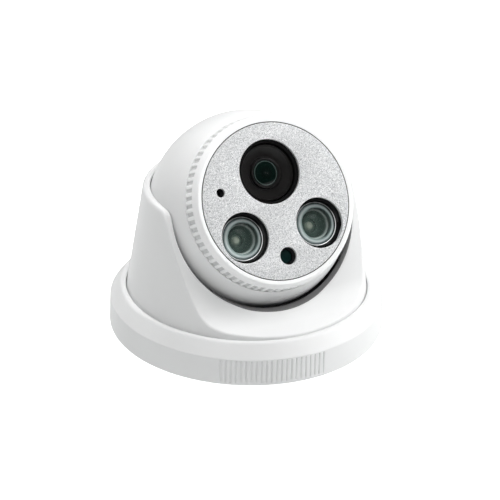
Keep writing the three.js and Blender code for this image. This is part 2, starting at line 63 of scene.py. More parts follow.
def face_points(node):
    """A CAD node's points in the face's frame, whose origin is the ball's centre, in millimetres."""
    points = np.array([v.co for v in frame["nodes"][node].data.vertices]).reshape(-1, 3)
    inverse = np.array(FACE_FRAME.inverted())
    return (points @ inverse[:3, :3].T + inverse[:3, 3]) / MM


def face_box(node):
    """Lowest and highest corner of a CAD node in the face's frame, in millimetres."""
    points = face_points(node)
    return points.min(0), points.max(0)


def face_spot(node):
    """The point on the face, in its frame and in millimetres, that a round node is centred on."""
    low, high = face_box(node)
    return (low + high)[:2] / 2


def outer_radius(node):
    """The outer radius, in millimetres, of a round node that stands on the object's axis."""
    return float(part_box(node)[1].x) / MM


BALL_HEIGHT = BALL_CENTRE.z / MM
BALL_RADIUS = float(np.linalg.norm(face_points("ball_shell"), axis=1).max())
FACE_SIN, FACE_COS = FACE_AXIS.z, -FACE_AXIS.y
BASE_RADIUS = outer_radius("lock_ring")
SEAM_HEIGHT = float(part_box("lock_ring")[1].z) / MM
FACE_OFFSET = float(face_box("face_plate")[1][2])
FACE_RADIUS = float(face_box("face_plate")[1][0])
LENS_SPOT = face_spot("lens_barrel")
LED_SPOTS = {side: face_spot("led_lens_" + side) for side in ("left", "right")}
SENSOR_SPOT = face_spot("light_sensor")
MIC_SPOT = face_spot("microphone")
RING_BACK = float(face_box("front_ring")[0][2])
CUP_BOTTOM, CUP_TOP = (float(corner.z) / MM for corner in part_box("turret_cup"))
CUP_FLANGE_RADIUS = outer_radius("turret_cup")

# ---- Driving dimensions of the finished surfaces, in millimetres ----
# The cup is a cone on a flange. A front parallel to the face cuts it down to a low, sloping apron.
CUP_FOOT_RADIUS = 48.25
CUP_FOOT_HEIGHT = 18
CUP_RIM_RADIUS = 41.7
CUP_WALL = 2.6
CUP_CEILING = 56
FLANGE_BOTTOM = 11.5
FLANGE_TOP = 14.8
SPIGOT_RADIUS = 48
FACADE_OFFSET = 13.4
SHELF_HEIGHT = 17.75
SHELF_SLOPE = math.tan(math.radians(10))

# The opening is a round hole in the slanted front, which runs into the round mouth at the top.
OPENING_RADIUS = 38.4
OPENING_DROP = 3.5
OPENING_DRAFT = 0.7
OPENING_BACK = 8.2
MOUTH_RADIUS = 38.7
CUP_TO_BALL = 0.22
SHADE_LINING_TO_BALL = 0.12

# The face plate: its holes by radius, its thickness and the chamfer of its edges.
LENS_HOLE = 12.7
LED_HOLE = 9.9
SENSOR_HOLE = 3.45
MIC_HOLE = 1.74
PLATE_THICKNESS = 1.5
PLATE_CHAMFER = 0.22

# The knurled band round the front ring: everything on the ring beyond this radius and below this height.
KNURL_NOTCHES = 70
KNURL_STEPS = 12
KNURL_TOP = 24.6
KNURL_RADIUS = 33.2
KNURL_DEPTH = 0.5

# The lock ring's upright wall, beyond this radius, and the patch of grip ribs on it, which is centred on
# a direction in degrees from +X.
WALL_TOP = 11.7
WALL_RADIUS = 54
GRIP_RIBS = 23
GRIP_PITCH = 2.07
GRIP_CENTRE = -105
GRIP_DEPTH = 0.54


# ---- Mesh helpers ----
def clean(mesh, sharp):
    """Welds doubled points, turns faces outwards and smooths; edges over sharp degrees stay crisp."""
    cleaner = bmesh.new()
    cleaner.from_mesh(mesh)
    bmesh.ops.remove_doubles(cleaner, verts=cleaner.verts, dist=1e-7)
    bmesh.ops.recalc_face_normals(cleaner, faces=cleaner.faces)
    cleaner.to_mesh(mesh)
    cleaner.free()
    mesh.shade_smooth()
    mesh.set_sharp_from_angle(angle=math.radians(sharp))


def mesh_object(name, points, faces, sharp=35):
    """A smooth-shaded object from points in millimetres."""
    mesh = bpy.data.meshes.new(name)
    mesh.from_pydata([tuple(p) for p in np.asarray(points) * MM], [], faces)
    clean(mesh, sharp)
    piece = bpy.data.objects.new(name, mesh)
    bpy.context.scene.collection.objects.link(piece)
    return piece


def grid_object(name, grid, closed_rows=True, sharp=35):
    """A surface from a grid of points by column and row, closed round its columns.

    With closed_rows, the last row joins the first. Without it, the surface ends there.
    """
    columns, rows = grid.shape[:2]
    faces = []
    last = rows if closed_rows else rows - 1
    for i in range(columns):
        after = (i + 1) % columns
        for j in range(last):
            above = (j + 1) % rows
            faces.append((i * rows + j, after * rows + j, after * rows + above, i * rows + above))
    return mesh_object(name, grid.reshape(-1, 3), faces, sharp)


def ease(value):
    """A smooth step between 0 and 1."""
    return value ** 2 * (3 - 2 * value)


def bend(before, corner, after, steps):
    """A rounded corner, from before to after, of one outline or of every column's outline at once."""
    t = np.linspace(0, 1, steps + 1)[:, None]
    before, corner, after = (np.asarray(p, float)[..., None, :] for p in (before, corner, after))
    return before * (1 - t) ** 2 + corner * 2 * t * (1 - t) + after * t ** 2


def turned(radii, heights, angles):
    """A grid of points about the Z axis, from radii by column and row and heights by row."""
    return np.stack([
        radii * np.cos(angles)[:, None],
        radii * np.sin(angles)[:, None],
        np.broadcast_to(heights, (len(angles), len(heights))),
    ], axis=2)


def soften(profile, closed=True, steps=5):
    """Rounds a profile's corners. Each point is (radius, height) or (radius, height, rounding).

    No rounding takes more than its share of an edge. A supporting point on each side of it keeps the
    shading of the flats even.
    """
    largest_share = 0.45
    support_share = 0.2
    points = [np.array(p[:2], float) for p in profile]
    rounding = [p[2] if len(p) > 2 else 0 for p in profile]
    count = len(points)
    result = []
    for i, corner in enumerate(points):
        at_end = not closed and i in (0, count - 1)
        if at_end or rounding[i] == 0:
            result.append(corner)
            continue
        back = points[i - 1] - corner
        ahead = points[(i + 1) % count] - corner
        back_length, ahead_length = np.linalg.norm(back), np.linalg.norm(ahead)
        reach = min(rounding[i], largest_share * back_length, largest_share * ahead_length)
        before = corner + back / back_length * reach
        after = corner + ahead / ahead_length * reach
        support = support_share * reach
        result.append(before + back / back_length * support)
        result.extend(bend(before, corner, after, steps))
        result.append(after + ahead / ahead_length * support)
    return np.array(result)


def lathe(name, profile, columns=192, closed=True):
    """A solid of revolution about the local Z axis."""
    profile = soften(profile, closed)
    angles = np.linspace(0, 2 * math.pi, columns, endpoint=False)
    return grid_object(name, turned(profile[:, 0], profile[:, 1], angles), closed)


def settle(piece, matrix, body, slot, material, *nodes, in_place=False):
    """Places a piece, gives it its material and body, and lets it stand for CAD nodes. The slot is not used.

    With in_place, the placement goes into the mesh, so the piece's own axes stay the world's.
    """
    if in_place:
        piece.data.transform(matrix)
    else:
        piece.matrix_world = matrix
    if not piece.data.materials:
        piece.data.materials.append(material)
    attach(piece, body)
    if nodes:
        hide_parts(*nodes)


def on_face(spot):
    """The face's frame, moved to a spot given in millimetres."""
    return FACE_FRAME @ Matrix.Translation(Vector((spot[0], spot[1], 0)) * MM)


# ---- Material helpers ----
class Shader:
    """A node material being built, with the Principled shader at its end."""

    def __init__(self, name, **settings):
        self.material = bpy.data.materials.new(name)
        self.material.use_nodes = True
        self.tree = self.material.node_tree
        self.principled = self.tree.nodes["Principled BSDF"]
        self.coordinates = self.add("ShaderNodeTexCoord").outputs["Object"]
        for socket, value in settings.items():
            self.principled.inputs[socket.replace("_", " ")].default_value = value

    def add(self, kind, **properties):
        node = self.tree.nodes.new(kind)
        for key, value in properties.items():
            setattr(node, key, value)
        return node

    def link(self, source, target):
        self.tree.links.new(source, target)

    def drive(self, socket, source):
        self.link(source, self.principled.inputs[socket])

    def noise(self, scale, detail=2):
        """A noise value; scale is in features per metre."""
        node = self.add("ShaderNodeTexNoise")
        node.inputs["Scale"].default_value = scale
        node.inputs["Detail"].default_value = detail
        self.link(self.coordinates, node.inputs["Vector"])
        return node.outputs["Fac"]

    def ramp(self, source, *stops):
        """Colours along a value. Each stop is (position, colour), or (position, grey)."""
        node = self.add("ShaderNodeValToRGB")
        elements = node.color_ramp.elements
        while len(elements) < len(stops):
            elements.new(1)
        for element, (position, colour) in zip(elements, stops):
            element.position = position
            if isinstance(colour, (int, float)):
                colour = (colour, colour, colour)
            element.color = (*colour, 1)
        self.link(source, node.inputs["Fac"])
        return node.outputs["Color"]

    def scaled(self, source, low, high):
        """A value from 0 to 1 spread from low to high."""
        node = self.add("ShaderNodeMapRange")
        node.inputs["To Min"].default_value = low
        node.inputs["To Max"].default_value = high
        self.link(source, node.inputs["Value"])
        return node.outputs["Result"]

    def math(self, operation, first, second=None):
        node = self.add("ShaderNodeMath", operation=operation)
        for socket, value in zip(node.inputs, (first, second)):
            if isinstance(value, (int, float)):
                socket.default_value = value
            elif value is not None:
                self.link(value, socket)
        return node.outputs["Value"]

    def mix(self, amount, first, second, blend="MIX"):
        node = self.add("ShaderNodeMix", data_type="RGBA", blend_type=blend)
        for socket, value in ((node.inputs[0], amount), (node.inputs[6], first), (node.inputs[7], second)):
            if isinstance(value, (int, float)):
                socket.default_value = value
            elif isinstance(value, tuple):
                socket.default_value = (*value, 1)
            else:
                self.link(value, socket)
        return node.outputs[2]

    def bump(self, height, strength, distance):
        """Fine relief from a height; distance is in millimetres."""
        node = self.add("ShaderNodeBump")
        node.inputs["Strength"].default_value = strength
        node.inputs["Distance"].default_value = distance * MM
        self.link(height, node.inputs["Height"])
        self.drive("Normal", node.outputs["Normal"])

    def across_and_up(self):
        """The piece's own X and Y."""
        parts = self.add("ShaderNodeSeparateXYZ")
        self.link(self.coordinates, parts.inputs[0])
        return parts.outputs["X"], parts.outputs["Y"]

    def radius(self, reach):
        """Distance from the piece's own Z axis: 1 at reach, which is in millimetres."""
        squares = [self.math("MULTIPLY", part, part) for part in self.across_and_up()]
        distance = self.math("DIVIDE", self.math("SQRT", self.math("ADD", *squares)), MM)
        return self.math("DIVIDE", distance, reach)

    def leaning(self, direction, reach):
        """A value that rises from 0 to 1 along a direction in X and Y, from -reach to reach."""
        steps = [self.math("MULTIPLY", part, share) for part, share in zip(self.across_and_up(), direction)]
        return self.math("ADD", self.math("DIVIDE", self.math("ADD", *steps), 2 * reach * MM), 0.5)


def moulded(name, colour, roughness, variation=0.02, grain=0.02, **settings):
    """Moulded plastic: faint flow variation in colour and gloss, and a fine skin."""
    shader = Shader(name, **settings)
    flow = shader.noise(38, detail=3)
    shade = shader.ramp(
        flow,
        (0.3, tuple(c * (1 - variation) for c in colour)),
        (0.7, tuple(min(1, c * (1 + variation)) for c in colour)),
    )
    shader.drive("Base Color", shade)
    gloss = shader.noise(260, detail=4)
    shader.drive("Roughness", shader.scaled(gloss, roughness * 0.85, roughness * 1.15))
    shader.bump(shader.noise(2400, detail=2), grain * 10, 0.02)
    return shader.material


def silver_paint():
    """Fine metallic paint: bright and dark flakes under a satin lacquer."""
    shader = Shader("silver_paint", Metallic=0.12, Coat_Weight=0.1, Coat_Roughness=0.35)
    flakes = shader.add("ShaderNodeTexVoronoi", feature="F1")
    flakes.inputs["Scale"].default_value = 4500
    shader.link(shader.coordinates, flakes.inputs["Vector"])
    lightness = shader.add("ShaderNodeSeparateColor")
    shader.link(flakes.outputs["Color"], lightness.inputs[0])
    tone = shader.ramp(
        lightness.outputs[0],
        (0.0, (0.34, 0.345, 0.355)),
        (0.3, (0.62, 0.63, 0.64)),
        (0.75, (0.78, 0.79, 0.795)),
        (1.0, (1.0, 1.0, 1.0)),
    )
    shader.drive("Base Color", tone)
    shader.drive("Roughness", shader.scaled(lightness.outputs[1], 0.38, 0.6))
    shader.bump(shader.noise(3000, detail=3), 0.35, 0.03)
    return shader.material


def metal(name, colour, roughness):
    """Plated or turned metal with fine tool lines and slight tarnish."""
    shader = Shader(name, Metallic=1)
    tarnish = shader.noise(300, detail=4)
    shader.drive("Base Color", shader.ramp(tarnish, (0.3, tuple(c * 0.86 for c in colour)), (0.7, colour)))
    shader.drive("Roughness", shader.scaled(tarnish, roughness * 0.7, roughness * 1.4))
    shader.bump(shader.noise(1500, detail=2), 0.15, 0.02)
    return shader.material


def circuit_board():
    """Green solder mask over faint copper tracks."""
    shader = Shader("circuit_board", Roughness=0.4)
    tracks = shader.add("ShaderNodeTexBrick")
    tracks.inputs["Scale"].default_value = 260
    tracks.inputs["Mortar Size"].default_value = 0.04
    shader.link(shader.coordinates, tracks.inputs["Vector"])
    shader.drive("Base Color", shader.mix(tracks.outputs["Fac"], (0.012, 0.10, 0.035), (0.03, 0.17, 0.06)))
    shader.bump(tracks.outputs["Fac"], 0.3, 0.03)
    return shader.material


def clear_material(name, tint):
    """Clear moulded optics, slightly tinted."""
    shader = Shader(name, Transmission_Weight=1, IOR=1.49)
    haze = shader.noise(90, detail=2)
    shader.drive("Base Color", shader.ramp(haze, (0.3, tuple(c * 0.97 for c in tint)), (0.7, tint)))
    shader.drive("Roughness", shader.scaled(haze, 0.012, 0.028))
    return shader.material


def lens_glass():
    """Dark coated front element: nearly black green, with a polished face, and a pale ring near its edge that is a
    painted reflection.
    """
    shader = Shader("lens_glass", Roughness=0.03, IOR=1.6, Coat_Weight=0.4, Coat_Roughness=0.02)
    # Painted reflection: the pale ring just inside the glass's edge.
    depth = shader.ramp(
        shader.radius(5),
        (0.0, (0.004, 0.008, 0.007)),
        (0.42, (0.003, 0.006, 0.005)),
        (0.55, (0.003, 0.008, 0.0065)),
        (0.88, (0.003, 0.008, 0.0065)),
        (0.915, (0.045, 0.066, 0.06)),
        (0.955, (0.06, 0.082, 0.076)),
        (0.975, (0.014, 0.018, 0.017)),
    )
    shader.drive("Base Color", depth)
    return shader.material


def led_optic():
    """The lamp's lens seen from the front, painted in rings: a dark throat of painted shade, then a bright step,
    a pale land and a bright rim, which are painted reflections and highlights.

    The land is painted lighter towards one side, and the rim has a painted glint on another, which glows
    through the material's emission.
    """
    half_width = 8.6
    light_side = (-0.35, -0.94)
    glint_side = (0.77, -0.64)
    shader = Shader("led_optic", Roughness=0.12, IOR=1.5, Coat_Weight=0.6, Coat_Roughness=0.03,
                    Emission_Strength=0.6)
    radius = shader.radius(10)
    # Painted shade and painted reflections, ring by ring from the axis out.
    tone = shader.ramp(
        radius,
        (0.0, (0.10, 0.14, 0.125)),
        (0.26, (0.10, 0.14, 0.125)),
        (0.40, (0.052, 0.078, 0.07)),
        (0.50, (0.06, 0.09, 0.08)),
        (0.525, (0.24, 0.30, 0.28)),
        (0.55, (0.75, 0.83, 0.80)),
        (0.585, (0.50, 0.60, 0.57)),
        (0.60, (0.09, 0.12, 0.115)),
        (0.63, (0.24, 0.32, 0.31)),
        (0.67, (0.60, 0.72, 0.70)),
        (0.71, (0.88, 0.97, 0.97)),
        (0.75, (0.50, 0.60, 0.60)),
        (0.78, (0.22, 0.28, 0.28)),
        (0.805, (0.03, 0.04, 0.04)),
        (0.82, (0.05, 0.07, 0.07)),
        (0.83, (0.92, 0.95, 0.95)),
        (0.862, (0.5, 0.54, 0.54)),
    )
    # Painted light: the land is made lighter towards one side.
    shade = shader.ramp(shader.leaning(light_side, half_width), (0.1, 0.36), (0.5, 0.6), (0.9, 1.0))
    shader.drive("Base Color", shader.mix(1.0, tone, shade, "MULTIPLY"))
    # Painted glint: a band of the rim glows through the emission, on one side only.
    rim = shader.ramp(radius, (0.822, 0), (0.832, 1), (0.862, 1), (0.87, 0))
    glint = shader.ramp(shader.leaning(glint_side, half_width), (0.68, 0), (0.85, 1))
    shader.drive("Emission Color", shader.mix(1.0, rim, glint, "MULTIPLY"))
    return shader.material


def led_window():
    """A clear, slightly hazy window with a green cast."""
    shader = Shader("led_window", Roughness=0.05, IOR=1.5, Alpha=0.14, Coat_Weight=1, Coat_Roughness=0.02)
    haze = shader.noise(400, detail=2)
    shader.drive("Base Color", shader.ramp(haze, (0.3, (0.10, 0.15, 0.13)), (0.7, (0.13, 0.19, 0.165))))
    return shader.material


def led_emitter():
    """The pale, domed emitter, with a faint glow of painted light in its own colour."""
    shader = Shader("led_emitter", Roughness=0.4, Emission_Strength=0.1)
    tone = shader.ramp(
        shader.radius(2.5),
        (0.0, (0.64, 0.70, 0.59)),
        (0.4, (0.60, 0.66, 0.55)),
        (0.6, (0.36, 0.42, 0.35)),
        (0.75, (0.13, 0.17, 0.145)),
        (1.0, (0.07, 0.095, 0.085)),
    )
    shader.drive("Base Color", tone)
    # Painted light: the emitter glows faintly in its own colour.
    shader.drive("Emission Color", tone)
    return shader.material


def bare_edge_and_highlight():
    """The bright edge of a chamfer: partly the bare metal of the cut, partly a painted highlight in its near-white
    colour.
    """
    shader = Shader("bare_edge_and_highlight", Metallic=0.2)
    lines = shader.noise(1800, detail=3)
    # Painted highlight in part: the near-white colour makes the chamfer brighter than bare metal would be.
    shader.drive("Base Color", shader.ramp(lines, (0.3, (0.88, 0.88, 0.88)), (0.7, (0.96, 0.96, 0.96))))
    shader.drive("Roughness", shader.scaled(lines, 0.2, 0.35))
    return shader.material


# By slot in the record, and then the finished surfaces that are finer than their slot. Some of these carry painted
# light or shade, as marked.
MATERIALS = {
    "white_plastic": moulded("white_plastic", (0.81, 0.815, 0.815), 0.36, Coat_Weight=0.12,
                             Coat_Roughness=0.25),
    "black_plastic": moulded("black_plastic", (0.007, 0.007, 0.0073), 0.5, variation=0.15,
                             Specular_IOR_Level=0.22),
    "grey_plastic": moulded("grey_plastic", (0.05, 0.052, 0.055), 0.6, variation=0.1),
    "rubber": moulded("rubber", (0.012, 0.012, 0.013), 0.85, variation=0.12, grain=0.05),
    "nylon": moulded("nylon", (0.70, 0.68, 0.62), 0.55),
    "silver_plate": silver_paint(),
    "steel": metal("steel", (0.56, 0.57, 0.58), 0.3),
    "brass": metal("brass", (0.64, 0.48, 0.21), 0.3),
    "circuit_board": circuit_board(),
    "coated_glass": lens_glass(),
    "filter_glass": clear_material("filter_glass", (0.4, 0.62, 0.6)),
    "clear_lens": clear_material("clear_lens", (0.85, 0.92, 0.90)),
    "led_emitter": led_emitter(),
    "sensor_silicon": moulded("sensor_silicon", (0.05, 0.04, 0.07), 0.15, variation=0.2),
    "sensor_resin": moulded("sensor_resin", (0.0005, 0.016, 0.0145), 0.4, variation=0.3),
    "lens_black": moulded("lens_black", (0.0115, 0.011, 0.0108), 0.42, variation=0.15),
    "led_optic": led_optic(),
    "led_window": led_window(),
    # Partly a painted highlight: the near-white chamfers of the face plate.
    "bare_edge_and_highlight": bare_edge_and_highlight(),
    # Painted shade: the dark grey of the lining on the wall of the cup's opening.
    "shade_lining": moulded("shade_lining", (0.17, 0.17, 0.17), 0.75, variation=0.1),
    # Painted light: a lighter copy of the white plastic for the front ring, whose front catches more light; it is
    # also glossier.
    "painted_lit_trim_white": moulded("painted_lit_trim_white", (0.92, 0.925, 0.925), 0.3, Coat_Weight=0.2, Coat_Roughness=0.2),
    # Painted shade: the darker grey of the notch floors on the front ring, which also have a duller gloss.
    "groove_painted_shade": moulded("groove_painted_shade", (0.66, 0.665, 0.665), 0.6),
}


# ---- Turret cup ----
def cone_radius(z):
    """The cup's outer radius at a height."""
    rise = np.clip((z - CUP_FOOT_HEIGHT) / (CUP_TOP - CUP_FOOT_HEIGHT), 0, 1)
    return CUP_FOOT_RADIUS + (CUP_RIM_RADIUS - CUP_FOOT_RADIUS) * rise


def front_height(inset, foot_round, rim_round):
    """Height of the cup's cut front as a function of y: apron, slanted front, then the flat rim."""
    beyond = 70
    offset = FACADE_OFFSET - inset
    top = CUP_CEILING if inset else CUP_TOP
    shelf_at_axis = SHELF_HEIGHT - inset + CUP_FOOT_RADIUS * SHELF_SLOPE
    corner_y = (FACE_SIN * (shelf_at_axis - BALL_HEIGHT) - offset) / (FACE_COS - FACE_SIN * SHELF_SLOPE)
    rim_y = (FACE_SIN * (top - BALL_HEIGHT) - offset) / FACE_COS
    outline = soften(
        [
            (-beyond, shelf_at_axis - beyond * SHELF_SLOPE),
            (corner_y, shelf_at_axis + corner_y * SHELF_SLOPE, foot_round),
            (rim_y, top, rim_round),
            (beyond, top),
        ],
        closed=False,
        steps=24,
    )
    return lambda y: np.interp(y, outline[:, 0], outline[:, 1])


def solve(function, low, high):
    """Where an increasing function crosses zero, for every column at once."""
    for _ in range(50):
        middle = (low + high) / 2
        above = function(middle) > 0
        low, high = np.where(above, low, middle), np.where(above, middle, high)
    return (low + high) / 2


def outside_opening(radius, azimuth, height, mouth):
    """Above zero on the wall, below zero in the open mouth or the opening."""
    draft_reach = 0.3
    mouth_margin = 0.5
    blend = 1.6
    y = -radius * np.cos(azimuth)
    x = radius * np.sin(azimuth)
    rise = height(y) - BALL_HEIGHT
    depth = -FACE_COS * y + FACE_SIN * rise
    up = FACE_SIN * y + FACE_COS * rise
    drop = OPENING_DROP + OPENING_DRAFT * np.minimum(depth - FACADE_OFFSET, draft_reach)
    opening = np.minimum(OPENING_RADIUS - np.hypot(x, up + drop), depth - OPENING_BACK)
    rim = np.minimum(mouth - radius, rise + BALL_HEIGHT - CUP_CEILING + mouth_margin)
    overlap = np.maximum(blend - np.abs(opening - rim), 0) / blend
    return -(np.maximum(opening, rim) + overlap ** 2 * blend / 4)


def cup_azimuths():
    """Column angles from -Y, close together where the slanted front cuts the cone."""
    half = np.concatenate([np.arange(0, 34, 1.0), np.arange(34, 84, 0.4), np.arange(84, 180, 1.5)])
    return np.radians(np.concatenate([half, [180], -half[:0:-1]]))


def between(start, end, count, ends=True):
    """Rows of points from start to end, for every column: shape (columns, count, 2)."""
    t = np.linspace(0, 1, count, endpoint=ends)[None, :, None]
    return start[:, None, :] * (1 - t) + end[:, None, :] * t


def wrap(path, azimuth):
    """A grid from each column's path of (radius, height) points, columns turned from -Y towards +X."""
    return np.stack([
        path[:, :, 0] * np.sin(azimuth)[:, None],
        -path[:, :, 0] * np.cos(azimuth)[:, None],
        path[:, :, 1],
    ], axis=2)


def clear_of_ball(grid, gap):
    """Push points that come too near the ball straight away from its centre."""
    offset = grid - np.array([0, 0, BALL_HEIGHT])
    distance = np.linalg.norm(offset, axis=2, keepdims=True)
    return grid + offset / distance * np.maximum(BALL_RADIUS + gap - distance, 0)


def pair(radius, z):
    """One (radius, height) point for every column."""
    return np.stack(np.broadcast_arrays(radius, z), axis=1)


def make_cup():
    """The cup: foot, cone, crease, cut front, lip round the opening, then the inside back down."""
    azimuth = cup_azimuths()
    fold = np.cos(azimuth)
    columns = np.ones(len(azimuth))
    outer = front_height(0, foot_round=6.5, rim_round=3.2)
    inner = front_height(CUP_WALL, foot_round=3, rim_round=1)
    bore_radius = CUP_FOOT_RADIUS - CUP_WALL
    inner_mouth = MOUTH_RADIUS + 0.8
    innermost = 20.0

    # Where the cone meets the cut front, outside and inside, and where each surface meets the opening.
    crease_z = solve(lambda z: z - outer(-cone_radius(z) * fold), 16.0 * columns, CUP_TOP * columns)
    crease_r = cone_radius(crease_z)
    edge_r = solve(lambda r: outside_opening(r, azimuth, outer, MOUTH_RADIUS), innermost * columns,
                   crease_r)
    edge = pair(edge_r, outer(-edge_r * fold))
    inside_z = solve(lambda z: z - inner(-(cone_radius(z) - CUP_WALL) * fold), 10.0 * columns,
                     CUP_CEILING * columns)
    inside_r = cone_radius(inside_z) - CUP_WALL
    inside = pair(inside_r, inside_z)
    back_r = solve(lambda r: outside_opening(r, azimuth, inner, inner_mouth), innermost * columns,
                   inside_r + 0.5)
    back_r = np.minimum(back_r, inside_r - 0.05)
    back = pair(back_r, inner(-back_r * fold))

    # The crease and the lip are rounder near the rim than near the apron.
    rounder_from = 48
    rounder_over = 10
    towards_rim = ease(np.clip((crease_z - rounder_from) / rounder_over, 0, 1))
    crease_reach = 0.75 + 1.0 * towards_rim
    lip_reach = 0.55 + 0.5 * towards_rim

    cone_end = pair(cone_radius(crease_z - crease_reach), crease_z - crease_reach)
    top_start_r = crease_r - crease_reach * 0.8
    top_start = pair(top_start_r, outer(-top_start_r * fold))
    top_end_r = edge_r + lip_reach
    wall = back - edge
    lip = edge + wall / np.linalg.norm(wall, axis=1)[:, None] * lip_reach[:, None]
    wall_end = edge + wall * 0.85

    foot = [
        (bore_radius, CUP_BOTTOM),
        (SPIGOT_RADIUS, CUP_BOTTOM),
        (SPIGOT_RADIUS, FLANGE_BOTTOM),
        (CUP_FLANGE_RADIUS, FLANGE_BOTTOM),
        (CUP_FLANGE_RADIUS, FLANGE_TOP),
        (CUP_FOOT_RADIUS, FLANGE_TOP),
    ]
    rows = [pair(radius * columns, z * columns)[:, None, :] for radius, z in foot]
    cone_start = pair(CUP_FOOT_RADIUS * columns, (FLANGE_TOP + 0.2) * columns)
    rows.append(between(cone_start, cone_end, count=26, ends=False))
    rows.append(bend(cone_end, pair(crease_r, crease_z), top_start, steps=8))
    t = np.linspace(0, 1, 30)[None, 1:]
    top_r = top_start_r[:, None] * (1 - t) + top_end_r[:, None] * t
    rows.append(np.stack([top_r, outer(-top_r * fold[:, None])], axis=2))
    rows.append(bend(rows[-1][:, -1], edge, lip, steps=6)[:, 1:])
    rows.append(between(lip, wall_end, count=5)[:, 1:])
    rows.append(bend(wall_end, back, back + (inside - back) * 0.1, steps=3)[:, 1:])
    t = np.linspace(0.1, 1, 12)[None, 1:]
    under_r = back_r[:, None] * (1 - t) + inside_r[:, None] * t
    rows.append(np.stack([under_r, inner(-under_r * fold[:, None])], axis=2))
    bore_top = pair(bore_radius * columns, CUP_FOOT_HEIGHT * 0.75 * columns)
    rows.append(between(inside, bore_top, count=8)[:, 1:])
    grid = wrap(np.concatenate(rows, axis=1), azimuth)
    cup = grid_object("turret_cup_skin", clear_of_ball(grid, CUP_TO_BALL), sharp=40)
    settle(cup, WORLD_FRAME, "turret", "white_plastic", MATERIALS["white_plastic"], "turret_cup")
    make_shade_lining(azimuth, lip, wall, back)


def make_shade_lining(azimuth, lip, wall, back):
    """A thin dark lining on the wall of the cup's opening, sunk a little into it: painted shade, a dark sheet
    where the wall lies in shadow under the ball.
    """
    thickness = 0.22
    sunk = 0.02
    front_bevel = 0.05
    inward = np.stack([-wall[:, 1], wall[:, 0]], axis=1) / np.linalg.norm(wall, axis=1)[:, None]
    inward *= np.sign(-inward[:, :1] + 1e-9)
    front = lip + wall * 0.03
    rows = [
        between(front + inward * front_bevel, front + inward * thickness, count=2, ends=False),
        between(front + wall * front_bevel + inward * thickness, back + inward * thickness, count=5),
        between(back + inward * thickness, back - inward * sunk, count=2)[:, 1:],
        between(back - inward * sunk, front - inward * sunk, count=5)[:, 1:],
    ]
    grid = wrap(np.concatenate(rows, axis=1), azimuth)
    shade_lining = grid_object("opening_shade_lining_skin", clear_of_ball(grid, SHADE_LINING_TO_BALL))
    settle(shade_lining, WORLD_FRAME, "turret", "rubber", MATERIALS["shade_lining"])


# ---- Lock ring ----
def make_lock_ring():
    """A wall, a sloping shoulder and a ledge up to the cup, with a patch of upright grooves on the wall."""
    foot = 0.4
    bore = 48.42
    underside = 15.1
    profile = soften([
        (54.5, foot, 0.3),
        (BASE_RADIUS, 1, 0.5),
        (54.75, WALL_TOP, 0.3),
        (51.0, 16.65, 0.6),
        (50.35, SEAM_HEIGHT, 0.3),
        (48.9, SEAM_HEIGHT, 0.3),
        (bore, SEAM_HEIGHT - 0.3, 0.1),
        (bore, underside),
        (51.3, underside),
        (52.2, 13.6),
        (52.5, foot),
    ])
    wall = np.linspace(1.6, WALL_TOP - 0.5, 27)
    start = int(np.argmax(profile[:, 1] > wall[0]))
    end = int(np.argmax(profile[:, 1] > wall[-1]))
    wall_radii = np.interp(wall, profile[start - 1:end + 1, 1], profile[start - 1:end + 1, 0])
    profile = np.concatenate([profile[:start], np.stack([wall_radii, wall], axis=1), profile[end:]])

    # Columns in degrees from the middle of the patch, close together across it.
    half_patch = GRIP_RIBS * GRIP_PITCH / 2 + 1
    patch = np.arange(-half_patch, half_patch, GRIP_PITCH / 10)
    rest = np.arange(half_patch, 360 - half_patch, 1.25)
    turn = np.concatenate([patch, rest])

    # Each groove is deepest in its middle and fades out at its foot and its top.
    groove_half_width = 0.26
    groove_foot = 1.5
    foot_fade = 0.6
    top_fade = 0.4
    phase = (turn / GRIP_PITCH) % 1
    across = ease(np.clip(1 - np.abs(phase - 0.5) / groove_half_width, 0, 1))
    across[np.abs(turn) > (GRIP_RIBS - 1) * GRIP_PITCH / 2] = 0
    heights = profile[:, 1]
    along = np.clip((heights - groove_foot) / foot_fade, 0, 1)
    along *= np.clip((WALL_TOP - top_fade - heights) / top_fade, 0, 1)
    along[profile[:, 0] < WALL_RADIUS] = 0
    radii = profile[:, 0] - GRIP_DEPTH * across[:, None] * along
    ring = grid_object("lock_ring_skin", turned(radii, heights, np.radians(turn + GRIP_CENTRE)))
    settle(ring, WORLD_FRAME, "lock_ring", "white_plastic", MATERIALS["white_plastic"], "lock_ring")


# ---- Ball ----
def arc(radius, start, end, steps):
    """Profile points on a circle about the ball's centre, angles in degrees from the face's plane."""
    return [(radius * math.cos(math.radians(a)), radius * math.sin(math.radians(a)))
            for a in np.linspace(start, end, steps + 1)]


def make_ball_shell():
    """A hollow ball, open in front for the module and behind for the cable gland."""
    ring_gap = 0.08
    gland_hole = 7.3
    wall = 2.6
    rebate = 33
    rebate_floor = 22.6
    edge_z = RING_BACK - ring_gap
    front = math.degrees(math.asin(edge_z / BALL_RADIUS))
    back = math.degrees(math.acos(gland_hole / BALL_RADIUS))
    profile = arc(BALL_RADIUS, -back, front - 0.3, 110)
    profile += [
        (BALL_RADIUS * math.cos(math.radians(front)), edge_z, 0.15),
        (rebate, edge_z),
        (rebate, rebate_floor),
        (31.9, rebate_floor),
    ]
    profile += arc(BALL_RADIUS - wall, 27, -75, 40)
    shell = lathe("ball_shell_skin", profile, columns=256)
    settle(shell, FACE_FRAME, "ball", "white_plastic", MATERIALS["white_plastic"], "ball_shell",
           in_place=True)


